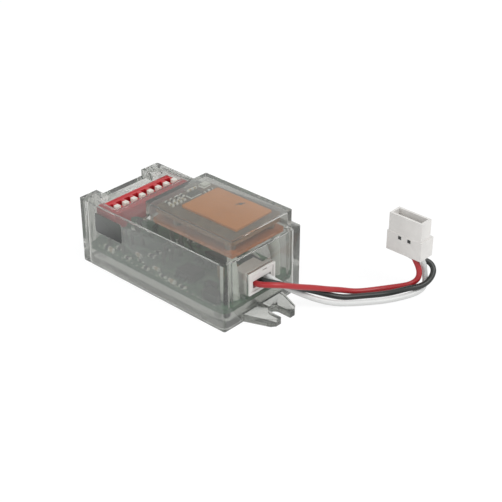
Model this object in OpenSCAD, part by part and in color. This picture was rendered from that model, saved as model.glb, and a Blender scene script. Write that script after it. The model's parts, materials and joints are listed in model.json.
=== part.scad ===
// Microwave motion sensor in a clear smoky box, with its lead and inline connector.
// Millimetres. The origin is the centre of the box's underside. +X points to the
// end that the lead leaves, +Y to the back and +Z up. The part rests on z = 0.

/* [Case] */
// Length of the case without its ears
case_l = 45.5; // [45.5:0.5:60]
// Width of the case
case_w = 24.5; // [24.5:0.5:32]
// Height of the flat top above the underside
case_h = 16.2; // [15.8:0.1:19]
// Thickness of the side walls
wall = 1.0; // [0.8:0.1:1.2]
// Thickness of the flat top
top_t = 0.8; // [0.6:0.1:1.2]
// Radius of the four upright edges
corner_r = 0.5; // [0.4:0.1:1.2]
// Radius of the four upright corners inside the case
room_r = 1.6; // [1.2:0.1:2]

/* [Antenna dome] */
// Length of the raised dome
dome_l = 26.1; // [24:0.1:27]
// Width of the raised dome
dome_w = 19.1; // [17:0.1:19.5]
// Height of the dome above the flat top
dome_rise = 4.2; // [4:0.1:6]
// Thickness of the dome's walls and roof
dome_wall = 0.8; // [0.6:0.1:1]
// Distance from the lead end of the case to the dome
dome_end_gap = 1.1; // [1.1:0.1:2]
// Shift of the dome towards the back
dome_shift = 0.9; // [0:0.1:1]
// Radius of the dome's four upright edges
dome_r = 0.3; // [0.2:0.1:0.8]

/* [Switch window] */
// Length of the two corner blocks beside the notch
block_l = 4.0; // [3:0.1:4.8]
// Width of the notch in the end wall
notch_w = 14.0; // [10:0.5:16]
// Depth of the notch below the flat top
notch_d = 1.6; // [1:0.1:2]
// Gap from the sliders to the window's far edge
window_gap = 0.7; // [0.4:0.1:1.2]

/* [Base and ears] */
// Thickness of the base plate and ears
base_t = 1.8; // [1.5:0.1:2.2]
// Reach of each ear beyond the case
ear_l = 6.5; // [6:0.1:9]
// Width of an ear where it leaves the case
ear_root_w = 12.7; // [11:0.1:14]
// Width of an ear at its tip
ear_tip_w = 7.6; // [6.5:0.1:9]
// Width of the open slot in each ear
slot_w = 3.0; // [2.6:0.1:3.5]
// Distance from the ear's tip to the centre of the slot's round end
slot_d = 3.1; // [2.5:0.1:4]

/* [Main board] */
// Thickness of the circuit boards
board_t = 1.0; // [0.8:0.1:1.2]
// Height of the posts that carry the main board
post_h = 1.8; // [1.5:0.1:2.5]
// Corner radius of the main board
board_r = 2.0; // [1.5:0.1:3]

/* [Switch] */
// Distance from the end of the case to the switch
switch_gap = 5.1; // [5:0.1:7]
// Width of the switch body along the case
switch_w = 6.5; // [6.3:0.1:8]
// Length of the switch body across the case
switch_l = 22.3; // [21.5:0.1:22.3]
// Height of the switch body
switch_h = 3.0; // [2.6:0.1:4]
// Distance between neighbouring sliders
pitch = 2.54; // [2.5:0.01:2.54]
// Side of a square slider stem
stem = 1.2; // [1:0.1:1.3]
// Distance from the switch's near edge to the sliders at rest
slider_at = 4.1; // [3.9:0.1:5]
// Travel of a slider
travel = 2.0; // [1.5:0.1:2.1]

/* [Antenna] */
// Length of the copper patch
patch_l = 16.3; // [12:0.1:17]
// Width of the copper patch
patch_w = 11.5; // [9:0.1:12.5]
// Thickness of the copper patch
patch_t = 0.5; // [0.3:0.1:0.7]
// Gap between the two boards of the antenna
stack_gap = 1.7; // [1.2:0.1:2.2]

/* [Header and plug] */
// Width of the header's face
header_w = 8.2; // [7.8:0.1:9]
// Height of the header's face
header_h = 5.2; // [5:0.1:6]
// Wall of the header
header_wall = 0.6; // [0.5:0.1:0.8]
// Height of the header's lower edge above the main board
header_lift = 1.15; // [0.8:0.05:1.5]
// Distance between neighbouring wires
wire_pitch = 2.0; // [2:0.1:2.2]
// Diameter of a wire
wire_d = 1.3; // [1.1:0.1:1.4]

/* [Inline connector] */
// Width of the connector's lower body
inline_w = 9.3; // [9:0.1:10]
// Depth of the connector's lower body
inline_d = 4.4; // [4.2:0.1:6]
// Height of the connector's lower body
inline_base_h = 4.7; // [4.2:0.1:6]
// Height of the rim above the lower body
inline_rim_h = 4.5; // [3:0.1:6]
// Wall of the rim
inline_wall = 0.55; // [0.4:0.05:0.6]

/* [Hidden] */

$fn = 48;
eps = 0.01;
// Slack between pieces that fit together by hand
fit = 0.1;

// Levels above the underside
board_z = base_t + post_h;
board_top = board_z + board_t;
ceiling = case_h - top_t;
dome_top = case_h + dome_rise;

// Inside of the case
end_x = case_l / 2;
side_y = case_w / 2;
room_l = case_l - 2 * wall;
room_w = case_w - 2 * wall;

// Main board and the edges that its parts are set out from
rim_gap = 0.15;
board_l = room_l - 2 * rim_gap;
board_w = room_w - 2 * rim_gap;
left = -board_l / 2;
right = board_l / 2;
front = -board_w / 2;
rear = board_w / 2;
foot_r = 1.2;
foot_in_x = 3.0;
foot_in_y = 2.2;

// Dome
dome_x1 = end_x - dome_end_gap;
dome_x = dome_x1 - dome_l / 2;

// Switch
ways = 8;
switch_x0 = -end_x + switch_gap;
switch_x = switch_x0 + switch_w / 2;
switch_top = ceiling - fit;
switch_z = switch_top - switch_h;
slider_x = switch_x0 + slider_at;
foot = stem + 0.4;
foot_h = 0.8;
foot_z = switch_z + 0.7;
window_x1 = slider_x + stem / 2 + window_gap;
window_w = ways * pitch;
riser_z = switch_z - board_t;
riser_row = 2.54;
riser_pitch = 4.0;
riser_inset = 0.2;
riser_end_inset = 0.3;

// Antenna stack, from the lower board up
board_gap = 0.3;
stack_l = dome_l - 2 * dome_wall - 2 * board_gap;
stack_w = dome_w - 2 * dome_wall - 2 * board_gap;
patch_top = dome_top - dome_wall - 0.2;
radio_top = patch_top - patch_t;
radio_z = radio_top - board_t;
ground_top = radio_z - stack_gap;
ground_z = ground_top - board_t;
radio_inset = 0.5;
patch_x = dome_x + stack_l / 2 - 0.4 - 2.0 - patch_l / 2;
patch_y = dome_shift + 1.2;
feed_x = patch_x + 1.0;
feed_y = patch_y + 3.4;
feed_r = 0.35;

// Header, plug and their contacts
header_y = -0.6;
header_z = board_top + header_lift;
header_face = end_x + 0.3;
shroud_d = 2.4;
rear_d = 3.0;
rear_w = header_w - 1.6;
wire_z = header_z + 2.25;
rear_top = wire_z + 1.9;
plug_face = header_face - 0.15;
recess_d = 1.0;
bore_r = wire_d / 2 + fit;
contact_r = 0.7;
contact_back = plug_face - 2.0;
contact_l = 2.3;
nose_h = 2.6;
pin = 0.5;

// Inline connector, which stands upright at the far end of the wires
inline_x = 40.5;
inline_y = 26.1;
inline_z = 9.6;
inline_pin_y = inline_y + 2.1;
rim_w = inline_w - 0.6;
rim_d = 3.5;
rim_z = inline_z + inline_base_h;
rim_top = rim_z + inline_rim_h;
socket_z = inline_z + 2.0;
seat_z = inline_z + 1.0;

// Routes of the wires, from the plug's contacts to the inline connector
red_route = [[20.9, -2.6, 8.0], [22.4, -2.6, 8.0], [23.9, -2.6, 8.2], [25.6, -2.2, 8.6],
    [27.1, -0.7, 8.5], [28.2, 1.7, 7.7], [29.0, 4.6, 6.4], [30.0, 8.0, 5.1], [31.2, 11.5, 3.6],
    [32.3, 15.1, 2.2], [33.8, 18.2, 1.0], [35.6, 21.2, 0.7], [37.4, 23.6, 0.8],
    [39.2, 25.5, 1.1], [40.5, 26.7, 1.4], [41.6, 27.6, 1.8], [42.5, 28.3, 2.5],
    [43.1, 28.8, 3.5], [43.2, 29.0, 4.7], [43.0, 29.0, 5.8], [42.6, 28.9, 6.8],
    [42.2, 28.7, 7.7], [41.8, 28.4, 8.7], [41.5, 28.2, 9.6], [41.5, 28.2, 10.6]];
black_route = [[20.9, -0.6, 8.0], [22.4, -0.6, 8.0], [23.8, -0.6, 8.1], [25.4, 0.2, 8.0],
    [26.8, 2.2, 7.0], [28.0, 5.4, 5.4], [29.3, 9.0, 3.5], [31.1, 12.3, 1.7], [33.3, 14.8, 0.8],
    [35.4, 17.6, 0.7], [37.5, 20.2, 0.7], [39.4, 22.6, 0.8], [41.2, 24.4, 1.4],
    [42.7, 26.0, 2.0], [44.1, 27.7, 2.2], [45.0, 29.5, 2.8], [45.2, 30.9, 3.7],
    [45.0, 31.9, 4.7], [44.3, 32.4, 5.6], [43.3, 32.3, 6.3], [42.2, 31.7, 6.7],
    [41.2, 30.8, 7.1], [40.4, 29.9, 7.6], [39.8, 29.0, 8.4], [39.5, 28.3, 9.4],
    [39.5, 28.2, 10.0], [39.5, 28.2, 10.6]];
white_route = [[20.9, 1.4, 8.0], [22.4, 1.4, 8.0], [23.7, 1.4, 7.9], [25.0, 2.2, 7.0],
    [26.2, 4.0, 5.3], [27.7, 6.1, 3.6], [29.8, 8.1, 2.3], [31.9, 10.1, 1.3], [34.2, 12.3, 0.8],
    [36.5, 14.8, 0.7], [38.7, 17.4, 0.7], [40.7, 20.1, 0.7], [42.2, 22.8, 0.7],
    [43.3, 25.4, 0.7], [44.0, 27.6, 0.8], [44.3, 29.4, 1.3], [43.9, 30.6, 2.4],
    [43.4, 30.9, 3.8], [43.3, 30.8, 5.1], [43.4, 30.3, 6.4], [43.5, 29.6, 7.6],
    [43.5, 28.8, 8.6], [43.5, 28.3, 9.5], [43.5, 28.2, 10.0], [43.5, 28.2, 10.6]];

CLEAR = [0.55, 0.57, 0.55, 0.5];
WHITE = [0.82, 0.81, 0.79];
GREEN = [0.28, 0.42, 0.34];
COPPER = [0.72, 0.5, 0.34];
BLACK = [0.13, 0.13, 0.14];
METAL = [0.75, 0.75, 0.73];

// Vectors and the swept tube of a wire
function unit(v) = v / norm(v);
function heading(p, i) = unit(p[min(i + 1, len(p) - 1)] - p[max(i - 1, 0)]);
function carried(n, t) = unit(n - (n * t) * t);
function normals(p) = [for (i = 0, n = carried([0, 0, 1], heading(p, 0)); i < len(p);
    i = i + 1, n = i < len(p) ? carried(n, heading(p, i)) : n) n];

module tube(route, d, sides = 8) {
    up = normals(route);
    last = len(route) - 1;
    points = [for (i = [0:last]) let (t = heading(route, i), side = cross(t, up[i]))
        for (j = [0:sides - 1]) let (a = 360 * j / sides)
            route[i] + d / 2 * (cos(a) * up[i] + sin(a) * side)];
    faces = [for (i = [0:last - 1]) for (j = [0:sides - 1])
        let (a = i * sides + j, b = i * sides + (j + 1) % sides, c = a + sides, e = b + sides)
            each [[a, b, e], [a, e, c]]];
    start = [for (j = [sides - 1:-1:0]) j];
    end = [for (j = [0:sides - 1]) last * sides + j];
    polyhedron(points, concat(faces, [start, end]));
}

// Flat outline with true round corners
module rounded(l, w, r) {
    square([l - 2 * r, w], center = true);
    square([l, w - 2 * r], center = true);
    for (x = [-1, 1], y = [-1, 1])
        translate([x * (l / 2 - r), y * (w / 2 - r)]) circle(r);
}

module slab(l, w, r, z0, z1) translate([0, 0, z0]) linear_extrude(z1 - z0) rounded(l, w, r);

// Box from its lowest to its highest corner
module block(x0, x1, y0, y1, z0, z1) translate([x0, y0, z0]) cube([x1 - x0, y1 - y0, z1 - z0]);

// Part on a board: centre, size and height above the board
module chip(x, y, z, l, w, h) translate([x - l / 2, y - w / 2, z]) cube([l, w, h]);

// Chip with gull-wing legs along its two long sides
leg_w = 0.4;
leg_reach = 0.9;
leg_pitch = 1.27;
lift = 0.15;
module leaded_chip(x, y, l, w, h, legs) {
    chip(x, y, board_top + lift, l, w, h - lift);
    for (s = [-1, 1], i = [0:legs - 1])
        translate([x + (i - (legs - 1) / 2) * leg_pitch, y + s * w / 2, 0]) {
            block(-leg_w / 2, leg_w / 2, min(-s * 0.2, s * leg_reach / 2), max(-s * 0.2, s * leg_reach / 2),
                board_top + h / 2 - 0.1, board_top + h / 2 + 0.1);
            block(-leg_w / 2, leg_w / 2, min(s * 0.25, s * 0.45), max(s * 0.25, s * 0.45),
                board_top, board_top + h / 2 + 0.1);
            block(-leg_w / 2, leg_w / 2, min(s * 0.25, s * leg_reach), max(s * 0.25, s * leg_reach),
                board_top, board_top + 0.2);
        }
}

// Outline of one ear, root at x = 0, with cut corners on its two prongs
module ear_outline(extra = 0) {
    half = ear_root_w / 2 + extra;
    tip = ear_tip_w / 2 + extra;
    cut = 0.8;
    polygon([[-wall - 2, -half], [0, -half], [ear_l - cut, -tip - cut * 0.3], [ear_l, -tip + cut],
        [ear_l, tip - cut], [ear_l - cut, tip + cut * 0.3], [0, half], [-wall - 2, half]]);
}

module ear() {
    difference() {
        linear_extrude(base_t) ear_outline();
        translate([ear_l - slot_d, 0, -1]) cylinder(r = slot_w / 2, h = base_t + 2);
        translate([ear_l - slot_d, -slot_w / 2, -1]) cube([slot_d + 1, slot_w, base_t + 2]);
    }
}

snap_l = 8;
snap_x = case_l / 4;
snap_z = base_t / 2;
snap_h = 0.5;
snap_out = 0.3;

module housing_shell() color(CLEAR) {
    difference() {
        union() {
            difference() {
                union() {
                    slab(case_l, case_w, corner_r, 0, case_h);
                    translate([dome_x, dome_shift, 0])
                        slab(dome_l, dome_w, dome_r, case_h - eps, dome_top);
                }
                slab(room_l, room_w, room_r, -1, ceiling);
                translate([dome_x, dome_shift, 0])
                    slab(dome_l - 2 * dome_wall, dome_w - 2 * dome_wall, 0.3, ceiling - 1, dome_top - dome_wall);
                window_cut();
            }
            notch_tray();
            board_ribs();
        }
        notch_cut();
        header_hole();
        ear_gaps();
        name_plate_seat(name_plate_t);
        snap_grooves();
    }
}

module window_cut() {
    block(-end_x + block_l, window_x1, -window_w / 2, window_w / 2, ceiling - 1, case_h + 1);
}

// Channel from the end wall to the switch
module notch_cut() {
    block(-end_x - 1, -end_x + block_l + eps, -notch_w / 2, notch_w / 2, case_h - notch_d, case_h + 1);
}

module notch_tray() {
    floor_z = case_h - notch_d;
    block(-end_x + wall - eps, -end_x + block_l, -notch_w / 2 - top_t, notch_w / 2 + top_t, floor_z - top_t, ceiling + eps);
}

// Four upright ribs that hold the main board down on its posts
rib_t = 1.0;
rib_out = 0.7;
rib_y = side_y - wall - 1.8;
module board_ribs() {
    for (s = [-1, 1], e = [-1, 1])
        translate([e * (end_x - wall - rib_out / 2 + eps), s * rib_y, 0])
            block(-rib_out / 2, rib_out / 2, -rib_t / 2, rib_t / 2, board_top, ceiling + eps);
}

module header_hole() {
    block(end_x - wall - 1, end_x + 1, header_y - header_w / 2 - fit, header_y + header_w / 2 + fit,
        header_z - fit, header_z + header_h + fit);
}

module ear_gaps() {
    block(-end_x - 1, end_x + 1, -ear_root_w / 2 - fit, ear_root_w / 2 + fit, -1, base_t);
}

// Half-height ribs of the base plate snap into these
module snap_grooves() {
    for (s = [-1, 1], x = [-snap_x, snap_x])
        translate([x, s * (side_y - wall), snap_z])
            cube([snap_l + 2 * fit, 2 * (snap_out + fit), snap_h + 2 * fit], center = true);
}

module base_plate() color(CLEAR) {
    slab(room_l - 2 * fit, room_w - 2 * fit, room_r, 0, base_t);
    translate([end_x, 0, 0]) ear();
    mirror([1, 0, 0]) translate([end_x, 0, 0]) ear();
    for (s = [-1, 1], x = [-snap_x, snap_x])
        translate([x, s * (side_y - wall - fit), snap_z])
            cube([snap_l, 2 * snap_out, snap_h], center = true);
    for (s = [-1, 1], x = [-1, 1])
        translate([x * (room_l / 2 - foot_in_x), s * (room_w / 2 - foot_in_y), base_t - eps])
            cylinder(r = foot_r, h = post_h + eps, $fn = 24);
}

// Small dark plate let into the front face, left bare
name_plate_t = 0.3;
name_plate_l = 8.9;
name_plate_h = 5.0;
name_plate_x = -end_x + switch_gap + name_plate_l / 2 - 0.1;
name_plate_z = case_h - 1.9 - name_plate_h / 2;
module name_plate_seat(t) {
    translate([name_plate_x, -side_y + t, name_plate_z]) rotate([90, 0, 0])
        linear_extrude(t + 1) rounded(name_plate_l, name_plate_h, 0.7);
}

module name_plate() color([0.2, 0.22, 0.22]) {
    translate([name_plate_x, -side_y + name_plate_t, name_plate_z]) rotate([90, 0, 0])
        linear_extrude(name_plate_t) rounded(name_plate_l - fit, name_plate_h - fit, 0.65);
}

module main_board() color(GREEN) slab(board_l, board_w, board_r, board_z, board_top);

// Switch: body with a stepped slot for each slider
function way_y(i) = (i - (ways + 1) / 2) * pitch;

module switch_body() color([0.7, 0.16, 0.16]) {
    difference() {
        block(switch_x0, switch_x0 + switch_w, -switch_l / 2, switch_l / 2, switch_z, switch_top);
        for (i = [1:ways]) translate([slider_x, way_y(i), 0]) {
            block(-travel - stem / 2 - fit, stem / 2 + fit, -stem / 2 - fit, stem / 2 + fit,
                foot_z, switch_top + 1);
            block(-travel - foot / 2 - fit, foot / 2 + fit, -foot / 2 - fit, foot / 2 + fit,
                foot_z - fit, foot_z + foot_h + fit);
        }
    }
}

module switch_slider(i) color([0.86, 0.86, 0.84]) {
    translate([slider_x, way_y(i), 0]) {
        block(-foot / 2, foot / 2, -foot / 2, foot / 2, foot_z, foot_z + foot_h);
        block(-stem / 2, stem / 2, -stem / 2, stem / 2, foot_z, switch_top + 0.9);
    }
}

module switch_riser_board() color(GREEN) {
    block(switch_x0 + riser_inset, switch_x0 + switch_w - riser_inset,
        -switch_l / 2 + riser_end_inset, switch_l / 2 - riser_end_inset, riser_z, switch_z);
}

module switch_solder_pins() color(METAL) {
    for (i = [1:ways], s = [-1, 1])
        translate([switch_x + s * (riser_row - 1.3), way_y(i), riser_z - 0.7])
            cylinder(r1 = 0.3, r2 = 0.6, h = 0.7, $fn = 16);
}

module riser_pins() color(METAL) {
    for (s = [-1, 1], i = [-2:2])
        chip(switch_x + s * riser_row, i * riser_pitch, board_top, header_pin, header_pin, riser_z - board_top);
}

// Antenna stack: a copper-edged ground board, the radio board and the patch
module stack_board(inset, z0, z1) {
    translate([dome_x, dome_shift, 0]) slab(stack_l - 2 * inset, stack_w - 2 * inset, 1.0, z0, z1);
}

module ground_board() color([0.5, 0.36, 0.26]) stack_board(0, ground_z, ground_top);

module radio_board() color([0.33, 0.36, 0.3]) stack_board(radio_inset, radio_z, radio_top);

module antenna_patch() color(COPPER) {
    difference() {
        translate([patch_x, patch_y, 0]) slab(patch_l, patch_w, 0.3, radio_top, patch_top);
        translate([feed_x, feed_y, radio_top - 1]) cylinder(r = feed_r + 0.15, h = patch_t + 2, $fn = 24);
    }
}

module patch_feed_pin() color(METAL) {
    translate([feed_x, feed_y, radio_top]) cylinder(r = feed_r, h = patch_t, $fn = 24);
}

stack_x0 = dome_x - stack_l / 2;
stack_x1 = dome_x + stack_l / 2;
stack_y0 = dome_shift - stack_w / 2;
stack_y1 = dome_shift + stack_w / 2;

spacer_r = 1.0;
spacer_in_near = 6.0;
spacer_in_far = 2.4;
spacer_in_y = 2.2;
module stack_spacers() color(WHITE) {
    for (x = [stack_x0 + spacer_in_near, stack_x1 - spacer_in_far],
        y = [stack_y0 + spacer_in_y, stack_y1 - spacer_in_y])
        translate([x, y, ground_top]) cylinder(r = spacer_r, h = stack_gap, $fn = 24);
}

post_r = 1.1;
post_in = 1.6;
module antenna_posts() color(WHITE) {
    for (y = [stack_y0 + post_in, stack_y1 - post_in])
        translate([stack_x1 - post_in, y, board_top]) cylinder(r = post_r, h = ground_z - board_top, $fn = 24);
}

link_x = stack_x0 + 1.6;
header_pin = 0.6;
module link_pins() color(METAL) {
    for (i = [-2:2]) {
        chip(link_x, dome_shift + i * pitch, board_top, header_pin, header_pin, ground_z - board_top);
        chip(link_x, dome_shift + i * pitch, ground_top, header_pin, header_pin, stack_gap);
    }
}

// Small parts on the radio board, between its edge and the patch
radio_x0 = stack_x0 + radio_inset;
module radio_chip() color(BLACK) chip(radio_x0 + 2.7, dome_shift + 1.3, radio_top, 1.6, 2.9, 0.7);

module radio_crystal() color([0.8, 0.8, 0.76]) chip(radio_x0 + 1.4, dome_shift + 6.2, radio_top, 1.6, 2.0, 0.6);

small_l = 1.0;
small_w = 0.5;
row_pitch = 1.5;
pair_pitch = 1.3;
capacitor_row_pitch = 1.2;
capacitor_pair_pitch = 1.4;
module radio_resistors() color(BLACK) {
    for (i = [0:3]) chip(radio_x0 + 1.1, dome_shift - 5.2 + i * row_pitch, radio_top, small_l, small_w, 0.35);
    for (i = [0:1]) chip(radio_x0 + 3.9, dome_shift + 4.2 + i * pair_pitch, radio_top, small_w, small_l, 0.35);
}

module radio_capacitors() color([0.72, 0.66, 0.55]) {
    for (i = [0:3]) chip(radio_x0 + 2.8, dome_shift - 5.6 + i * capacitor_row_pitch, radio_top, small_l, small_w, 0.5);
    for (i = [0:1]) chip(radio_x0 + 0.8, dome_shift + 2.0 + i * capacitor_pair_pitch, radio_top, small_w, small_l, 0.5);
}

// Header in the end wall
module header_shroud() color(WHITE) {
    difference() {
        union() {
            block(header_face - shroud_d, header_face, header_y - header_w / 2, header_y + header_w / 2,
                header_z, header_z + header_h);
            block(header_face - shroud_d - rear_d, header_face - shroud_d + eps,
                header_y - rear_w / 2, header_y + rear_w / 2, board_top, rear_top);
        }
        block(header_face - shroud_d + 0.4, header_face + 1,
            header_y - header_w / 2 + header_wall, header_y + header_w / 2 - header_wall,
            header_z + header_wall, header_z + header_h - header_wall);
        block(header_face - shroud_d - rear_d + 0.7, header_face,
            header_y - nose_w / 2 - fit, header_y + nose_w / 2 + fit,
            wire_z - nose_h / 2 - fit, wire_z + nose_h / 2 + fit);
        for (i = [-1:1])
            translate([header_face - shroud_d - rear_d - 1, header_y + i * wire_pitch, wire_z])
                rotate([0, 90, 0]) cylinder(r = pin / 2 + 0.15, h = 3, $fn = 24);
        block(header_face - 1.2, header_face + 1, header_y + 0.1, header_y + 1.3,
            header_z + header_h - header_wall - eps, header_z + header_h - 0.25);
    }
}

nose_w = 2 * wire_pitch + 2 * contact_r + 0.5;
pin_end = header_face - 2.7;
module header_pins() color(METAL) {
    back = header_face - shroud_d - rear_d - 0.1;
    for (i = [-1:1]) translate([0, header_y + i * wire_pitch, 0]) {
        block(back - pin, pin_end, -pin / 2, pin / 2, wire_z - pin / 2, wire_z + pin / 2);
        block(back - pin, back, -pin / 2, pin / 2, board_top, wire_z + pin / 2);
    }
}

module plug_housing() color(WHITE) {
    flange_w = header_w - 2 * header_wall - 2 * fit;
    flange_z0 = header_z + header_wall + fit;
    flange_z1 = header_z + header_h - header_wall - fit;
    recess_w = 2 * wire_pitch + wire_d + 0.5;
    difference() {
        union() {
            block(header_face - shroud_d + 0.5, plug_face, header_y - flange_w / 2, header_y + flange_w / 2,
                flange_z0, flange_z1);
            block(header_face - shroud_d - rear_d + 0.8, header_face - shroud_d + 0.6,
                header_y - nose_w / 2, header_y + nose_w / 2, wire_z - nose_h / 2, wire_z + nose_h / 2);
        }
        block(plug_face - recess_d, plug_face + 1, header_y - recess_w / 2, header_y + recess_w / 2,
            wire_z - wire_d / 2 - 0.2, wire_z + wire_d / 2 + 0.2);
        for (i = [-1:1]) translate([0, header_y + i * wire_pitch, wire_z]) rotate([0, 90, 0]) {
            translate([0, 0, contact_back - eps]) cylinder(r = bore_r, h = 3);
            translate([0, 0, contact_back - contact_l - 1]) cylinder(r = contact_r + 0.05, h = contact_l + 1);
        }
    }
}

module plug_contacts() color(METAL) {
    for (i = [-1:1]) translate([contact_back - contact_l, header_y + i * wire_pitch, wire_z])
        rotate([0, 90, 0]) difference() {
            cylinder(r = contact_r, h = contact_l, $fn = 24);
            translate([0, 0, -1]) cylinder(r = 0.42, h = contact_l + 0.6, $fn = 24);
        }
}

module wire_red() color([0.75, 0.16, 0.16]) tube(red_route, wire_d);

module wire_black() color([0.12, 0.12, 0.13]) tube(black_route, wire_d);

module wire_white() color([0.8, 0.8, 0.8]) tube(white_route, wire_d);

// Four-way housing whose first way stays empty
function inline_way_x(i) = inline_x + (i - 2.5) * 2.0;

module inline_connector() color(WHITE) {
    rim_y = inline_y + 0.1;
    difference() {
        union() {
            block(inline_x - inline_w / 2, inline_x + inline_w / 2, inline_y, inline_y + inline_d, inline_z, rim_z);
            block(inline_x - rim_w / 2, inline_x + rim_w / 2, rim_y, rim_y + rim_d, rim_z - eps, rim_top);
        }
        block(inline_x - rim_w / 2 + inline_wall, inline_x + rim_w / 2 - inline_wall,
            rim_y + inline_wall, rim_y + rim_d - inline_wall, socket_z, rim_top + 1);
        for (i = [2:4]) translate([inline_way_x(i), inline_pin_y, 0]) {
            translate([0, 0, inline_z - 1]) cylinder(r = bore_r + 0.05, h = seat_z + 0.6 - inline_z + 1);
            translate([0, 0, seat_z]) cylinder(r = 0.4, h = 3, $fn = 24);
        }
        for (s = [-1, 1])
            translate([inline_x + s * 1.25, inline_y, rim_z - 0.85]) cube([0.9, 3, 0.9], center = true);
    }
}

module inline_contacts() color(METAL) {
    for (i = [2:4]) translate([inline_way_x(i), inline_pin_y, 0]) {
        translate([0, 0, seat_z]) cylinder(r = bore_r - 0.05, h = 0.55, $fn = 24);
        block(-pin / 2, pin / 2, -pin / 2, pin / 2, seat_z, socket_z + 3.8);
    }
}

// Parts on the main board
chip_w = 3.9;
chip_h = 1.5;
controller_l = 8.6;
amplifier_l = 4.9;
module microcontroller() color(BLACK) leaded_chip(6.5, 3.2, controller_l, chip_w, chip_h, 7);

module signal_amplifier() color(BLACK) leaded_chip(6.0, -4.2, amplifier_l, chip_w, chip_h, 4);

regulator_l = 4.5;
regulator_w = 2.5;
regulator_leg = 1.0;
regulator_bite = 0.05;
module voltage_regulator() color(BLACK) {
    y = rear - 4.5;
    chip(right - 8.2, y, board_top, regulator_l, regulator_w, chip_h);
    for (i = [-1:1])
        chip(right - 8.2 + i * regulator_l / 3, y - (regulator_w + regulator_leg) / 2 + regulator_bite, board_top,
            0.45, regulator_leg, 0.4);
}

module bulk_capacitor() color([0.75, 0.55, 0.2]) chip(right - 8.4, 0.6, board_top, 3.5, 2.8, 1.9);

module output_transistor() color(BLACK) {
    x = right - 9.0;
    y = -4.6;
    chip(x, y, board_top + 0.1, 2.9, 1.3, 0.9);
    for (i = [-1, 1]) chip(x + 0.95 * i, y - 1.0, board_top, 0.4, 0.8, 0.3);
    chip(x, y + 1.0, board_top, 0.4, 0.8, 0.3);
}

diode_l = 4.2;
diode_w = 2.6;
module protection_diode() color(BLACK) {
    chip(right - 5.0, front + 2.4, board_top + 0.1, diode_l, diode_w, 2.0);
    for (s = [-1, 1])
        chip(right - 5.0 + s * (diode_l / 2 + 0.2), front + 2.4, board_top, 0.8, 1.5, 0.5);
}

module status_light() color([0.9, 0.85, 0.75]) chip(left + 15.1, rear - 1.7, board_top, 1.6, 0.8, 0.7);

// Places of the small chips: the rows at the edges keep to them
resistor_spots = [[left + 5.2, front + 1.7], [left + 8.2, front + 3.5], [left + 12.4, front + 1.5],
    [left + 15.6, front + 2.9], [left + 18.6, front + 1.3], [left + 23.8, front + 1.7],
    [left + 30.0, front + 1.5], [left + 15.8, -3.4], [left + 15.8, -1.0], [left + 15.8, 1.4],
    [left + 23.2, rear - 1.5], [left + 26.6, rear - 1.5]];
capacitor_spots = [[left + 7.2, front + 1.2], [left + 13.8, front + 4.9], [left + 20.7, front + 3.1],
    [left + 26.9, front + 1.3], [left + 2.2, -4.5], [left + 2.2, -1.0], [left + 2.2, 2.5],
    [left + 15.8, 4.6], [left + 15.8, 6.6], [left + 30.2, rear - 1.5], [left + 33.6, rear - 1.5]];
small_case_l = 1.6;
small_case_w = 0.8;

module chip_resistors() color([0.2, 0.2, 0.21]) {
    for (s = resistor_spots) chip(s.x, s.y, board_top, small_case_l, small_case_w, 0.45);
}

module chip_capacitors() color([0.7, 0.62, 0.5]) {
    for (s = capacitor_spots) chip(s.x, s.y, board_top, small_case_l, small_case_w, 0.8);
}

housing_shell();
base_plate();
name_plate();
main_board();
switch_body();
switch_solder_pins();
switch_riser_board();
riser_pins();
switch_slider(1);  // switch_slider_1
switch_slider(2);  // switch_slider_2
switch_slider(3);  // switch_slider_3
switch_slider(4);  // switch_slider_4
switch_slider(5);  // switch_slider_5
switch_slider(6);  // switch_slider_6
switch_slider(7);  // switch_slider_7
switch_slider(8);  // switch_slider_8
ground_board();
radio_board();
antenna_patch();
patch_feed_pin();
stack_spacers();
antenna_posts();
link_pins();
radio_chip();
radio_crystal();
radio_resistors();
radio_capacitors();
header_shroud();
header_pins();
plug_housing();
plug_contacts();
wire_red();
wire_black();
wire_white();
inline_connector();
inline_contacts();
microcontroller();
signal_amplifier();
voltage_regulator();
bulk_capacitor();
output_transistor();
protection_diode();
status_light();
chip_resistors();
chip_capacitors();
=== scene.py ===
"""Microwave motion sensor in a clear smoky case, with its lead and inline connector."""

import json
import math

import bmesh
import bpy
from mathutils import Matrix, Vector


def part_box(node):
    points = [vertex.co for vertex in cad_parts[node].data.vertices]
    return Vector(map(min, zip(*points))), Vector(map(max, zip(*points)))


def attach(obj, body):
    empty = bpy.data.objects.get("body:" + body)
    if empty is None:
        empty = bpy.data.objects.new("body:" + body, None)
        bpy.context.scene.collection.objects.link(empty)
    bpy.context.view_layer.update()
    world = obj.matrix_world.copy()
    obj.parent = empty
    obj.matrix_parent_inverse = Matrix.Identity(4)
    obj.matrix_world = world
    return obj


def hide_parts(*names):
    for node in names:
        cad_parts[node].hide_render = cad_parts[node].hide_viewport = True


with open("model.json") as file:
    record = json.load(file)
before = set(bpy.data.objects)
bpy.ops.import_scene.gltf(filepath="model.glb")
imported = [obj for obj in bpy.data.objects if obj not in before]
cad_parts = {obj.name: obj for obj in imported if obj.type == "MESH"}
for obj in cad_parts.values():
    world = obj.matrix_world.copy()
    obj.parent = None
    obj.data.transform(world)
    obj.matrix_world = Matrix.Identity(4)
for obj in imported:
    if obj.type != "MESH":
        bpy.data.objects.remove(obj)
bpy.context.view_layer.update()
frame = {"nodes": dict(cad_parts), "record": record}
nodes = frame["nodes"]
MM = 0.001

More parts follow.
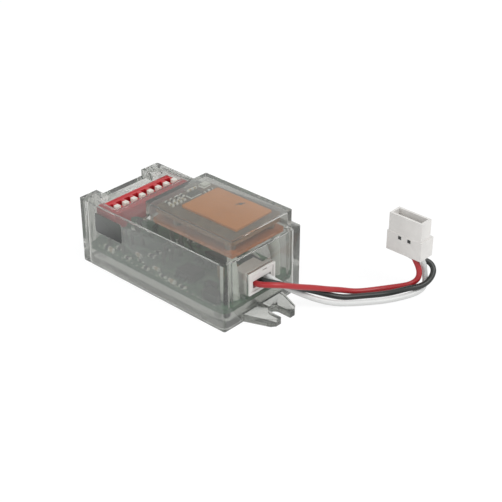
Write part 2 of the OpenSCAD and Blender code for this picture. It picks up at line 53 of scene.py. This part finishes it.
# Camera at the photograph's viewing angle
view_back = Vector((0.5837, -0.6349, 0.5062)).normalized()
view_right = Vector((0.7362, 0.6768, 0.0)).normalized()
view_up = view_back.cross(view_right)
camera_data = bpy.data.cameras.new("camera")
camera_data.sensor_width = 36.0
camera_data.lens = 88.56
camera_data.clip_start = 0.005
camera_data.clip_end = 20.0
camera = bpy.data.objects.new("camera", camera_data)
bpy.context.collection.objects.link(camera)
turn = Matrix((view_right, view_up, view_back)).transposed().to_4x4()
camera_at = Vector((0.17409, -0.16858, 0.14786))
camera.matrix_world = Matrix.Translation(camera_at) @ turn
scene = bpy.context.scene
scene.camera = camera
scene.view_settings.view_transform = "Standard"


# Material helpers


def blank(name):
    """A new material with its node tree, its Principled shader and its output."""
    mat = bpy.data.materials.new(name)
    mat.use_nodes = True
    tree = mat.node_tree
    return mat, tree, tree.nodes["Principled BSDF"], tree.nodes["Material Output"]


def node(tree, kind, inputs=None, **settings):
    """One node with its settings and plain inputs; an input given as a socket is linked."""
    made = tree.nodes.new(kind)
    for key, value in settings.items():
        setattr(made, key, value)
    for key, value in (inputs or {}).items():
        if isinstance(value, bpy.types.NodeSocket):
            tree.links.new(value, made.inputs[key])
        else:
            made.inputs[key].default_value = value
    return made


def srgb(r, g, b):
    """Linear colour, with alpha, from an 8-bit display colour."""
    def line(v):
        v = v / 255.0
        return v / 12.92 if v <= 0.04045 else ((v + 0.055) / 1.055) ** 2.4
    return (line(r), line(g), line(b), 1.0)


def shade(colour, factor):
    """The same colour, lighter or darker."""
    return tuple(min(c * factor, 1.0) for c in colour[:3]) + (1.0,)


def object_place(tree, stretch=(1.0, 1.0, 1.0)):
    """Object coordinates, stretched for a grain that runs one way."""
    place = node(tree, "ShaderNodeTexCoord").outputs["Object"]
    return node(tree, "ShaderNodeMapping", {"Vector": place, "Scale": stretch}).outputs["Vector"]


def noise(tree, place, size, detail=4.0):
    """Noise whose lumps are about this many millimetres wide."""
    lumps = node(tree, "ShaderNodeTexNoise", {"Vector": place, "Scale": 1.0 / (size * MM),
                 "Detail": detail, "Roughness": 0.55})
    return lumps.outputs["Fac"]


def between(tree, value, low, high, from_low=0.35, from_high=0.65):
    """A value brought into a range; a noise pattern's own values lie at about 0.35 to 0.65."""
    spread = node(tree, "ShaderNodeMapRange", {"Value": value, "From Min": from_low,
                  "From Max": from_high, "To Min": low, "To Max": high})
    return spread.outputs["Result"]


def product(tree, first, second):
    """Two values, multiplied."""
    return node(tree, "ShaderNodeMath", {0: first, 1: second}, operation="MULTIPLY").outputs[0]


def larger(tree, first, second):
    """The larger of two values."""
    return node(tree, "ShaderNodeMath", {0: first, 1: second}, operation="MAXIMUM").outputs[0]


def faces_along(tree, axis):
    """How squarely a surface faces along an axis, either way: 0 to 1."""
    facing = node(tree, "ShaderNodeNewGeometry").outputs["Normal"]
    part = node(tree, "ShaderNodeSeparateXYZ", {0: facing}).outputs[axis]
    return node(tree, "ShaderNodeMath", {0: part}, operation="ABSOLUTE").outputs[0]


def set_bump(tree, shader, height, strength, depth):
    """Bump from a pattern, its depth in millimetres."""
    bump = node(tree, "ShaderNodeBump", {"Height": height, "Strength": strength,
                "Distance": depth * MM})
    tree.links.new(bump.outputs["Normal"], shader.inputs["Normal"])


def two_colours(tree, factor, first, second):
    """A colour between two, by a pattern."""
    mix = node(tree, "ShaderNodeMix", data_type="RGBA")
    tree.links.new(factor, mix.inputs[0])
    for socket, colour in ((mix.inputs[6], first), (mix.inputs[7], second)):
        if isinstance(colour, bpy.types.NodeSocket):
            tree.links.new(colour, socket)
        else:
            socket.default_value = colour
    return mix.outputs[2]


def moulded(name, colour, rough, spread=0.05, lump=2.5, grain=0.12, metal=0.0,
            stretch=(1.0, 1.0, 1.0), coat=0.0, level=0.5):
    """A moulded or pressed surface: cloudy colour, uneven gloss and a fine grain."""
    mat, tree, shader, _ = blank(name)
    place = object_place(tree, stretch)
    cloud = noise(tree, place, lump)
    fine = noise(tree, place, grain, 3.0)
    tone = between(tree, cloud, 0.0, 1.0)
    tree.links.new(two_colours(tree, tone, shade(colour, 1.0 - spread), shade(colour, 1.0 + spread)),
                   shader.inputs["Base Color"])
    rough_spread = 0.06
    tree.links.new(between(tree, fine, rough - rough_spread, rough + rough_spread),
                   shader.inputs["Roughness"])
    set_bump(tree, shader, fine, 0.35, 0.004)
    shader.inputs["Metallic"].default_value = metal
    shader.inputs["Coat Weight"].default_value = coat
    shader.inputs["Coat Roughness"].default_value = 0.1
    shader.inputs["Specular IOR Level"].default_value = level
    return mat


def smoky_clear(name, tint, clear, haze, rough, satin_rough):
    """Smoky clear plastic, hazy and satin on its long sides, where its colour is also darker as
    painted shade; lamps reach what is inside.
    """
    mat, tree, shader, out = blank(name)
    place = object_place(tree)
    cloud = between(tree, noise(tree, place, 6.0, 2.0), 0.0, 1.0)
    long_side = between(tree, faces_along(tree, "Y"), 0.0, 1.0, 0.7, 0.9)
    body = two_colours(tree, cloud, shade(tint, 0.97), shade(tint, 1.03))
    # Painted shade: faces that look along Y, the long sides, get a darker colour
    tree.links.new(two_colours(tree, long_side, body, shade(tint, 0.93)),
                   shader.inputs["Base Color"])
    satin = between(tree, long_side, rough, satin_rough, 0.0, 1.0)
    uneven = between(tree, noise(tree, place, 0.4), 0.7, 1.3)
    tree.links.new(product(tree, satin, uneven), shader.inputs["Roughness"])
    tree.links.new(between(tree, long_side, clear, clear - haze, 0.0, 1.0),
                   shader.inputs["Transmission Weight"])
    shader.inputs["IOR"].default_value = 1.25
    shader.inputs["Coat Weight"].default_value = 0.15
    shader.inputs["Coat Roughness"].default_value = 0.05
    light = node(tree, "ShaderNodeLightPath").outputs
    passing = larger(tree, light["Is Shadow Ray"], light["Is Diffuse Ray"])
    through = node(tree, "ShaderNodeBsdfTransparent", {"Color": (0.93, 0.94, 0.93, 1.0)})
    both = node(tree, "ShaderNodeMixShader", {0: passing, 1: shader.outputs[0],
                2: through.outputs[0]})
    tree.links.new(both.outputs[0], out.inputs["Surface"])
    return mat


def solder_mask(name, mask, track, laminate):
    """Board lacquer over copper tracks, with the bare laminate along its sawn edges."""
    mat, tree, shader, _ = blank(name)
    place = object_place(tree)
    cells = node(tree, "ShaderNodeTexVoronoi", {"Vector": place, "Scale": 520.0,
                 "Randomness": 0.75}, distance="CHEBYCHEV", feature="F1")
    lines = between(tree, cells.outputs["Distance"], 0.0, 1.0, 0.42, 0.46)
    cloud = between(tree, noise(tree, place, 3.0), 0.0, 1.0)
    field = two_colours(tree, cloud, shade(mask, 0.9), shade(mask, 1.1))
    face = two_colours(tree, lines, field, track)
    flat = between(tree, faces_along(tree, "Z"), 0.0, 1.0, 0.4, 0.6)
    tree.links.new(two_colours(tree, flat, laminate, face), shader.inputs["Base Color"])
    set_bump(tree, shader, lines, 0.4, 0.03)
    tree.links.new(between(tree, noise(tree, place, 0.2), 0.28, 0.42), shader.inputs["Roughness"])
    return mat


def lacquer(name, low, high, z_low, z_high):
    """Glossy lacquer on an upright plate, with a painted reflection that makes it paler towards its
    upper edge; heights in millimetres.
    """
    mat, tree, shader, _ = blank(name)
    place = object_place(tree)
    height = node(tree, "ShaderNodeSeparateXYZ", {0: place}).outputs["Z"]
    # Painted reflection: the colour runs from low at the bottom to high, paler, at the upper edge
    rise = between(tree, height, 0.0, 1.0, z_low * MM, z_high * MM)
    field = two_colours(tree, rise, low, high)
    cloud = between(tree, noise(tree, place, 1.5), 0.0, 0.25)
    tree.links.new(two_colours(tree, cloud, field, shade(high, 0.8)), shader.inputs["Base Color"])
    tree.links.new(between(tree, noise(tree, place, 0.3), 0.12, 0.2), shader.inputs["Roughness"])
    shader.inputs["Coat Weight"].default_value = 0.25
    shader.inputs["Coat Roughness"].default_value = 0.1
    return mat


def jacket(name, colour):
    """Extruded wire jacket: faint lines along the wire and a soft gloss."""
    mat, tree, shader, _ = blank(name)
    run = node(tree, "ShaderNodeUVMap", uv_map="run").outputs["UV"]
    lines = node(tree, "ShaderNodeMapping", {"Vector": run, "Scale": (26.0, 0.4, 1.0)})
    streaks = node(tree, "ShaderNodeTexNoise", {"Vector": lines.outputs["Vector"],
                   "Scale": 1.0, "Detail": 2.0}).outputs["Fac"]
    tone = between(tree, streaks, 0.0, 1.0)
    tree.links.new(two_colours(tree, tone, shade(colour, 0.92), shade(colour, 1.08)),
                   shader.inputs["Base Color"])
    tree.links.new(between(tree, streaks, 0.3, 0.42), shader.inputs["Roughness"])
    set_bump(tree, shader, streaks, 0.3, 0.01)
    return mat


clear_case = smoky_clear("clear_case", (0.6, 0.605, 0.58, 1.0), clear=0.935, haze=0.09,
                         rough=0.02, satin_rough=0.07)
# The name plate's paler upper edge is a painted reflection
name_plate_black = lacquer("name_plate_black", srgb(20, 23, 21), srgb(70, 74, 69), 9.6, 14.0)
board_green = solder_mask("board_green", srgb(62, 92, 72), srgb(86, 120, 92), srgb(70, 96, 76))
radio_board_brown = solder_mask("radio_board_brown", srgb(92, 77, 60), srgb(108, 91, 70),
                                srgb(136, 98, 68))
ground_board_copper = moulded("ground_board_copper", srgb(180, 104, 50), 0.45, spread=0.15, lump=1.2)
copper_foil = moulded("copper_foil", srgb(200, 120, 26), 0.45, spread=0.05, lump=4.0, grain=0.08,
                      stretch=(1.0, 6.0, 1.0), level=0.25)
switch_red = moulded("switch_red", srgb(176, 32, 38), 0.34, spread=0.08, lump=1.5)
slider_white = moulded("slider_white", srgb(206, 204, 194), 0.38)
connector_white = moulded("connector_white", srgb(214, 211, 207), 0.42, spread=0.03, lump=2.0)
nylon_white = moulded("nylon_white", srgb(205, 207, 200), 0.4)
tinned_metal = moulded("tinned_metal", srgb(214, 213, 208), 0.28, metal=0.6, lump=0.8)
chip_black = moulded("chip_black", srgb(44, 46, 46), 0.5, spread=0.12, lump=0.8, grain=0.06)
ceramic_tan = moulded("ceramic_tan", srgb(176, 160, 132), 0.45, spread=0.1, lump=0.6)
resistor_black = moulded("resistor_black", srgb(52, 54, 54), 0.3, spread=0.1, lump=0.5)
can_silver = moulded("can_silver", srgb(218, 217, 208), 0.32, metal=0.25, lump=0.9)
tantalum_ochre = moulded("tantalum_ochre", srgb(134, 112, 72), 0.45, spread=0.08, lump=0.9)
chip_grey = moulded("chip_grey", srgb(104, 104, 98), 0.5, spread=0.12, lump=0.8, grain=0.06)
dull_pin = moulded("dull_pin", srgb(112, 112, 106), 0.4, metal=0.7, lump=0.8)
fibre_brown = moulded("fibre_brown", srgb(126, 108, 92), 0.5, spread=0.12, lump=0.7)
bright_solder = moulded("bright_solder", srgb(228, 227, 220), 0.28, metal=0.3, lump=0.6)
aged_solder = moulded("aged_solder", srgb(46, 44, 32), 0.5, spread=0.2, lump=0.4, metal=0.3)
light_lens = moulded("light_lens", srgb(232, 226, 208), 0.2, coat=0.4)
wire_red_jacket = jacket("wire_red_jacket", srgb(164, 33, 38))
wire_black_jacket = jacket("wire_black_jacket", srgb(34, 37, 35))
wire_white_jacket = jacket("wire_white_jacket", srgb(206, 206, 204))
# The finish of each material slot
finishes = {
    "clear_case": clear_case, "name_plate_black": name_plate_black, "board_green": board_green,
    "radio_board_brown": radio_board_brown, "ground_board_copper": ground_board_copper,
    "copper_foil": copper_foil, "switch_red": switch_red, "slider_white": slider_white,
    "connector_white": connector_white, "nylon_white": nylon_white, "tinned_metal": tinned_metal,
    "chip_black": chip_black, "ceramic_tan": ceramic_tan, "resistor_black": resistor_black,
    "can_silver": can_silver, "tantalum_ochre": tantalum_ochre, "light_lens": light_lens,
    "wire_red_jacket": wire_red_jacket, "wire_black_jacket": wire_black_jacket,
    "wire_white_jacket": wire_white_jacket}
# Nodes that look unlike the other nodes of their slot
own_finish = {"radio_chip": chip_grey, "patch_feed_pin": aged_solder, "riser_pins": dull_pin,
              "link_pins": dull_pin, "stack_spacers": fibre_brown}
slot_of = {s["node"]: s["material_slot"] for s in frame["record"]["subparts"]}
body_of = {n: b for b, names in frame["record"]["behaviour"]["bodies"].items() for n in names}


def add_object(name, mesh):
    """An object of this mesh, at the origin."""
    made = bpy.data.objects.new(name, mesh)
    bpy.context.collection.objects.link(made)
    return made


# Wires. Their points are those of the solids' own routes, in millimetres.
red_route = [(20.9, -2.6, 8.0), (22.4, -2.6, 8.0), (23.9, -2.6, 8.2), (25.6, -2.2, 8.6),
             (27.1, -0.7, 8.5), (28.2, 1.7, 7.7), (29.0, 4.6, 6.4), (30.0, 8.0, 5.1),
             (31.2, 11.5, 3.6), (32.3, 15.1, 2.2), (33.8, 18.2, 1.0), (35.6, 21.2, 0.7),
             (37.4, 23.6, 0.8), (39.2, 25.5, 1.1), (40.5, 26.7, 1.4), (41.6, 27.6, 1.8),
             (42.5, 28.3, 2.5), (43.1, 28.8, 3.5), (43.2, 29.0, 4.7), (43.0, 29.0, 5.8),
             (42.6, 28.9, 6.8), (42.2, 28.7, 7.7), (41.8, 28.4, 8.7), (41.5, 28.2, 9.6),
             (41.5, 28.2, 10.6)]
black_route = [(20.9, -0.6, 8.0), (22.4, -0.6, 8.0), (23.8, -0.6, 8.1), (25.4, 0.2, 8.0),
               (26.8, 2.2, 7.0), (28.0, 5.4, 5.4), (29.3, 9.0, 3.5), (31.1, 12.3, 1.7),
               (33.3, 14.8, 0.8), (35.4, 17.6, 0.7), (37.5, 20.2, 0.7), (39.4, 22.6, 0.8),
               (41.2, 24.4, 1.4), (42.7, 26.0, 2.0), (44.1, 27.7, 2.2), (45.0, 29.5, 2.8),
               (45.2, 30.9, 3.7), (45.0, 31.9, 4.7), (44.3, 32.4, 5.6), (43.3, 32.3, 6.3),
               (42.2, 31.7, 6.7), (41.2, 30.8, 7.1), (40.4, 29.9, 7.6), (39.8, 29.0, 8.4),
               (39.5, 28.3, 9.4), (39.5, 28.2, 10.0), (39.5, 28.2, 10.6)]
white_route = [(20.9, 1.4, 8.0), (22.4, 1.4, 8.0), (23.7, 1.4, 7.9), (25.0, 2.2, 7.0),
               (26.2, 4.0, 5.3), (27.7, 6.1, 3.6), (29.8, 8.1, 2.3), (31.9, 10.1, 1.3),
               (34.2, 12.3, 0.8), (36.5, 14.8, 0.7), (38.7, 17.4, 0.7), (40.7, 20.1, 0.7),
               (42.2, 22.8, 0.7), (43.3, 25.4, 0.7), (44.0, 27.6, 0.8), (44.3, 29.4, 1.3),
               (43.9, 30.6, 2.4), (43.4, 30.9, 3.8), (43.3, 30.8, 5.1), (43.4, 30.3, 6.4),
               (43.5, 29.6, 7.6), (43.5, 28.8, 8.6), (43.5, 28.3, 9.5), (43.5, 28.2, 10.0),
               (43.5, 28.2, 10.6)]
wire_d = 1.3 * MM
wire_sides = 20
steps_between_points = 6
smoothing_passes = 8


def smooth_line(route):
    """Points of a smooth line along the route, in metres."""
    pts = [Vector(p) * MM for p in route]
    line = []
    for i in range(len(pts) - 1):
        a, b, c, d = pts[max(i - 1, 0)], pts[i], pts[i + 1], pts[min(i + 2, len(pts) - 1)]
        for k in range(steps_between_points):
            t = k / steps_between_points
            line.append(0.5 * (2 * b + (c - a) * t + (2 * a - 5 * b + 4 * c - d) * t * t
                               + (3 * b - a - 3 * c + d) * t ** 3))
    line.append(pts[-1])
    for _ in range(smoothing_passes):
        line = ([line[0], line[1]]
                + [(line[i - 1] + 2 * line[i] + line[i + 1]) / 4 for i in range(2, len(line) - 2)]
                + [line[-2], line[-1]])
    return line


def make_wire(name, route, mat):
    """A round wire along its route, with the points of its middle line and its length.

    Its UV map runs once round the wire, and one unit for each centimetre along it.
    """
    line = smooth_line(route)
    bm = bmesh.new()
    layer = bm.loops.layers.uv.new("run")
    up = Vector((0.0, 0.0, 1.0))
    rings, run = [], [0.0]
    for i, p in enumerate(line):
        ahead = (line[min(i + 1, len(line) - 1)] - line[max(i - 1, 0)]).normalized()
        up = (up - up.dot(ahead) * ahead).normalized()
        side = ahead.cross(up)
        rings.append([bm.verts.new(p + wire_d / 2 * (math.cos(a) * up + math.sin(a) * side))
                      for a in (2 * math.pi * k / wire_sides for k in range(wire_sides))])
        if i:
            run.append(run[-1] + (p - line[i - 1]).length)
    for i in range(len(line) - 1):
        for k in range(wire_sides):
            n = (k + 1) % wire_sides
            face = bm.faces.new((rings[i][k], rings[i][n], rings[i + 1][n], rings[i + 1][k]))
            face.smooth = True
            spots = ((k, i), (k + 1, i), (k + 1, i + 1), (k, i + 1))
            for loop, (around, along) in zip(face.loops, spots):
                loop[layer].uv = (around / wire_sides, run[along] / MM / 10)
    bm.faces.new(reversed(rings[0]))
    bm.faces.new(rings[-1])
    bm.normal_update()
    mesh = bpy.data.meshes.new(name)
    bm.to_mesh(mesh)
    bm.free()
    mesh.materials.append(mat)
    return add_object(name, mesh), line, run[-1]


# Finished copies of the solids


def clean_copy(name):
    """A merged copy of a solid, its flat faces whole again."""
    bm = bmesh.new()
    bm.from_mesh(nodes[name].data)
    bmesh.ops.remove_doubles(bm, verts=bm.verts, dist=0.002 * MM)
    bmesh.ops.dissolve_limit(bm, angle_limit=math.radians(1.0), verts=bm.verts, edges=bm.edges)
    return bm


def finished(name, piece, width, segments=2):
    """A piece with softly broken edges, standing for a node; the bevel's width is in millimetres."""
    bm = clean_copy(name)
    mesh = bpy.data.meshes.new(piece)
    bm.to_mesh(mesh)
    bm.free()
    for face in mesh.polygons:
        face.use_smooth = True
    mesh.materials.append(finishes[slot_of[name]])
    made = add_object(piece, mesh)
    soft = made.modifiers.new("edges", "BEVEL")
    soft.width = width * MM
    soft.segments = segments
    soft.limit_method = "ANGLE"
    soft.angle_limit = math.radians(30.0)
    soft.harden_normals = True
    soft.use_clamp_overlap = True
    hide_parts(name)
    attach(made, body_of[name])
    return made


connector_piece = finished("inline_connector", "inline_connector_body", 0.1)
for colour, route, mat, others in (
        ("red", red_route, wire_red_jacket, [connector_piece, nodes["inline_contacts"]]),
        ("black", black_route, wire_black_jacket, [connector_piece]),
        ("white", white_route, wire_white_jacket, [connector_piece])):
    wire, line, length = make_wire("lead_" + colour, route, mat)
    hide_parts("wire_" + colour)
    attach(wire, "harness")


# Small repeated pieces, set out by one node tree


def make_stud_tree():
    """Geometry nodes: on each point one tapered stud, sized by the point's own span."""
    tree = bpy.data.node_groups.new("studs", "GeometryNodeTree")
    for name, kind in (("Geometry", "NodeSocketGeometry"), ("Taper", "NodeSocketFloat"),
                       ("Finish", "NodeSocketMaterial")):
        tree.interface.new_socket(name, in_out="INPUT", socket_type=kind)
    tree.interface.new_socket("Geometry", in_out="OUTPUT", socket_type="NodeSocketGeometry")
    given = tree.nodes.new("NodeGroupInput").outputs
    result = tree.nodes.new("NodeGroupOutput").inputs
    corner = math.sqrt(0.5)
    top = node(tree, "ShaderNodeMath", {0: given["Taper"], 1: corner}, operation="MULTIPLY")
    stud = node(tree, "GeometryNodeMeshCone", {"Vertices": 4, "Radius Top": top.outputs[0],
                "Radius Bottom": corner, "Depth": 1.0})
    square = node(tree, "GeometryNodeTransform", {"Geometry": stud.outputs["Mesh"],
                  "Rotation": (0.0, 0.0, math.pi / 4)})
    span = node(tree, "GeometryNodeInputNamedAttribute", {"Name": "span"}, data_type="FLOAT_VECTOR")
    copies = node(tree, "GeometryNodeInstanceOnPoints", {"Points": given["Geometry"],
                  "Instance": square.outputs["Geometry"], "Scale": span.outputs["Attribute"]})
    real = node(tree, "GeometryNodeRealizeInstances", {"Geometry": copies.outputs["Instances"]})
    done = node(tree, "GeometryNodeSetMaterial", {"Geometry": real.outputs["Geometry"],
                "Material": given["Finish"]})
    tree.links.new(done.outputs["Geometry"], result["Geometry"])
    return tree


stud_tree = make_stud_tree()


def studs(name, spots, taper, slot, body, soft=0.04, mat=None):
    """One piece of tapered studs. A spot is the middle of a stud's foot and its size, in metres.

    The taper is the top's share of the foot, and soft is the bevel's width in millimetres.
    """
    mesh = bpy.data.meshes.new(name + "_points")
    mesh.from_pydata([tuple(foot) for foot, _ in spots], [], [])
    span = mesh.attributes.new("span", "FLOAT_VECTOR", "POINT")
    for i, (_, size) in enumerate(spots):
        span.data[i].vector = size
    made = add_object(name, mesh)
    nodes_on = made.modifiers.new("studs", "NODES")
    nodes_on.node_group = stud_tree
    sockets = {s.name: s.identifier for s in stud_tree.interface.items_tree if s.in_out == "INPUT"}
    nodes_on[sockets["Taper"]] = taper
    nodes_on[sockets["Finish"]] = mat or finishes[slot]
    graph = bpy.context.evaluated_depsgraph_get()
    plain = bpy.data.meshes.new_from_object(made.evaluated_get(graph), depsgraph=graph)
    made.modifiers.clear()
    made.data = plain
    plain.name = name
    edges = made.modifiers.new("edges", "BEVEL")
    edges.width = soft * MM
    edges.segments = 2
    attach(made, body)


def loose_boxes(name):
    """Lowest and highest corners of each separate solid of a node, in the order of its points."""
    bm = clean_copy(name)
    bm.verts.index_update()
    seen, boxes = set(), []
    for first in bm.verts:
        if first.index in seen:
            continue
        seen.add(first.index)
        group, ahead = [], [first]
        while ahead:
            v = ahead.pop()
            group.append(v.co.copy())
            for edge in v.link_edges:
                other = edge.other_vert(v)
                if other.index not in seen:
                    seen.add(other.index)
                    ahead.append(other)
        boxes.append((Vector([min(c[k] for c in group) for k in range(3)]),
                      Vector([max(c[k] for c in group) for k in range(3)])))
    bm.free()
    return boxes


def end_caps(name, piece):
    """Tinned ends with their solder for the small chips of one node."""
    share, past_end, wider, taller, taper = 0.24, 0.2 * MM, 0.12 * MM, 0.02 * MM, 0.84
    spots = []
    for low, high in loose_boxes(name):
        size = high - low
        along = 0 if size.x > size.y else 1
        for end in (-1, 1):
            cap = Vector(size)
            cap[along] = size[along] * share + past_end
            cap[1 - along] += wider
            cap.z += taller
            foot = (low + high) / 2
            foot.z = low.z
            foot[along] += end * (size[along] / 2 + past_end - cap[along] / 2)
            spots.append((foot, cap))
    studs(piece, spots, taper, "tinned_metal", "sensor", mat=bright_solder)


def solder_skirt(name, piece, out, rise):
    """A low band of solder round the foot of each solid of one node, sizes in millimetres."""
    taper = 0.88
    spots = []
    for low, high in loose_boxes(name):
        foot = (low + high) / 2
        foot.z = low.z
        spots.append((foot, Vector((high.x - low.x + 2 * out * MM, high.y - low.y + 2 * out * MM,
                                    rise * MM))))
    studs(piece, spots, taper, "tinned_metal", "sensor", mat=bright_solder)


end_caps("chip_resistors", "resistor_ends")
end_caps("chip_capacitors", "capacitor_ends")
end_caps("radio_resistors", "radio_resistor_ends")
end_caps("radio_capacitors", "radio_capacitor_ends")
solder_skirt("radio_chip", "radio_chip_solder", 0.22, 0.14)
solder_skirt("radio_crystal", "crystal_solder", 0.2, 0.14)

# Solder dots along the front and rear edges of the main board, first place and pitch in millimetres
board_low, board_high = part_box("main_board")
dot_inset = 0.7 * MM
first_dot = 3.2
dot_pitch = 1.6
dots_per_row = 24
dots = []
for y in (board_low[1] + dot_inset, board_high[1] - dot_inset):
    for i in range(dots_per_row):
        dots.append((Vector((board_low[0] + (first_dot + dot_pitch * i) * MM, y, board_high[2])),
                     Vector((0.55, 0.45, 0.12)) * MM))
studs("board_edge_solder", dots, 0.6, "tinned_metal", "sensor", 0.05)

# A bright test pad on the radio board, and the old solder round the patch's feed
pad_at = Vector((-2.5, -0.55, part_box("radio_board")[1][2] / MM)) * MM
studs("radio_test_pad", [(pad_at, Vector((0.5, 0.5, 0.2)) * MM)], 0.6, "tinned_metal", "sensor",
      mat=bright_solder)
feed_low, feed_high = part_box("patch_feed_pin")
sunk = 0.01 * MM
feed = Vector(((feed_low[0] + feed_high[0]) / 2, (feed_low[1] + feed_high[1]) / 2,
               feed_high[2] - sunk))
feed_spots = [(feed + Vector((x, y, 0.0)) * MM, Vector((0.42, 0.7, 0.05)) * MM)
              for x, y in ((-0.4, -0.75), (0.35, 0.7))]
studs("patch_feed_solder", feed_spots, 0.7, "tinned_metal", "sensor", 0.01, aged_solder)

# Dark blocks behind the two windows of the inline connector, painted shade for the dark inside of
# its windows
low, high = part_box("inline_connector")
middle = (low[0] + high[0]) / 2
window_offset = 1.25 * MM
shade_block_depth = 0.82 * MM
shade_block_foot = 13.01 * MM
window_shade_blocks = [(Vector((middle + side * window_offset, low[1] + shade_block_depth, shade_block_foot)),
            Vector((0.88, 1.36, 0.88)) * MM) for side in (-1, 1)]
studs("inline_window_shade_blocks", window_shade_blocks, 1.0, "chip_black", "harness", 0.03)

finished("name_plate", "name_plate_face", 0.08)
finished("housing_shell", "case_shell", 0.08)
finished("base_plate", "case_base", 0.08)
finished("switch_body", "switch_block", 0.06, 1)
finished("header_shroud", "header_block", 0.08)
finished("plug_housing", "plug_block", 0.06)
switch_ways = 8
for way in range(1, switch_ways + 1):
    finished(f"switch_slider_{way}", f"slider_cap_{way}", 0.1)

# Materials of the solids' own meshes
for name, obj in nodes.items():
    if name in slot_of:
        finish = own_finish.get(name, finishes[slot_of[name]])
        for s in obj.material_slots:
            s.material = finish
        if not obj.material_slots:
            obj.data.materials.append(finish)


# Floor, backdrop and light


def seen_share(tree):
    """1 where the background is seen: by the camera, in a reflection or through the case."""
    light = node(tree, "ShaderNodeLightPath").outputs
    seen = larger(tree, light["Is Camera Ray"], light["Is Glossy Ray"])
    return larger(tree, seen, light["Is Transmission Ray"])


def studio_floor():
    """A white floor with a faint shadow under the object."""
    radius, drop = 1.2, 0.1 * MM
    mat, tree, shader, out = blank("floor_white")
    shader.inputs["Base Color"].default_value = (0.86, 0.86, 0.86, 1.0)
    shader.inputs["Roughness"].default_value = 0.9
    shader.inputs["Specular IOR Level"].default_value = 0.0
    share = product(tree, seen_share(tree), 0.82)
    glow = node(tree, "ShaderNodeEmission", {"Color": (1.0, 1.0, 1.0, 1.0), "Strength": 1.06})
    mix = node(tree, "ShaderNodeMixShader", {0: share, 1: shader.outputs[0],
               2: glow.outputs[0]})
    tree.links.new(mix.outputs[0], out.inputs["Surface"])
    bm = bmesh.new()
    bmesh.ops.create_circle(bm, cap_ends=True, segments=64, radius=radius)
    mesh = bpy.data.meshes.new("floor")
    bm.to_mesh(mesh)
    bm.free()
    mesh.materials.append(mat)
    floor = add_object("floor", mesh)
    floor.location.z = -drop


def studio_world():
    """A soft dome of light that is plain white where it is seen."""
    world = bpy.data.worlds.new("studio")
    scene.world = world
    world.use_nodes = True
    tree = world.node_tree
    tree.nodes.clear()
    dome = node(tree, "ShaderNodeBackground", {"Color": (0.96, 0.98, 1.0, 1.0), "Strength": 0.62})
    white = node(tree, "ShaderNodeBackground", {"Color": (1.0, 1.0, 1.0, 1.0), "Strength": 1.0})
    mix = node(tree, "ShaderNodeMixShader", {0: seen_share(tree), 1: dome.outputs[0],
               2: white.outputs[0]})
    end = node(tree, "ShaderNodeOutputWorld")
    tree.links.new(mix.outputs[0], end.inputs["Surface"])


def softbox(name, place, aim, size, watts):
    """One soft square lamp that faces a point."""
    data = bpy.data.lights.new(name, "AREA")
    data.shape = "SQUARE"
    data.size = size
    data.energy = watts
    lamp = bpy.data.objects.new(name, data)
    bpy.context.collection.objects.link(lamp)
    lamp.location = place
    lamp.rotation_euler = (Vector(aim) - Vector(place)).to_track_quat("-Z", "Y").to_euler()


studio_floor()
studio_world()
case_middle = (0.0, 0.0, 0.01)
softbox("key", (0.5, 0.05, 0.6), case_middle, size=0.5, watts=3.2)
softbox("fill", (-0.25, -0.6, 0.45), case_middle, size=0.5, watts=1.8)
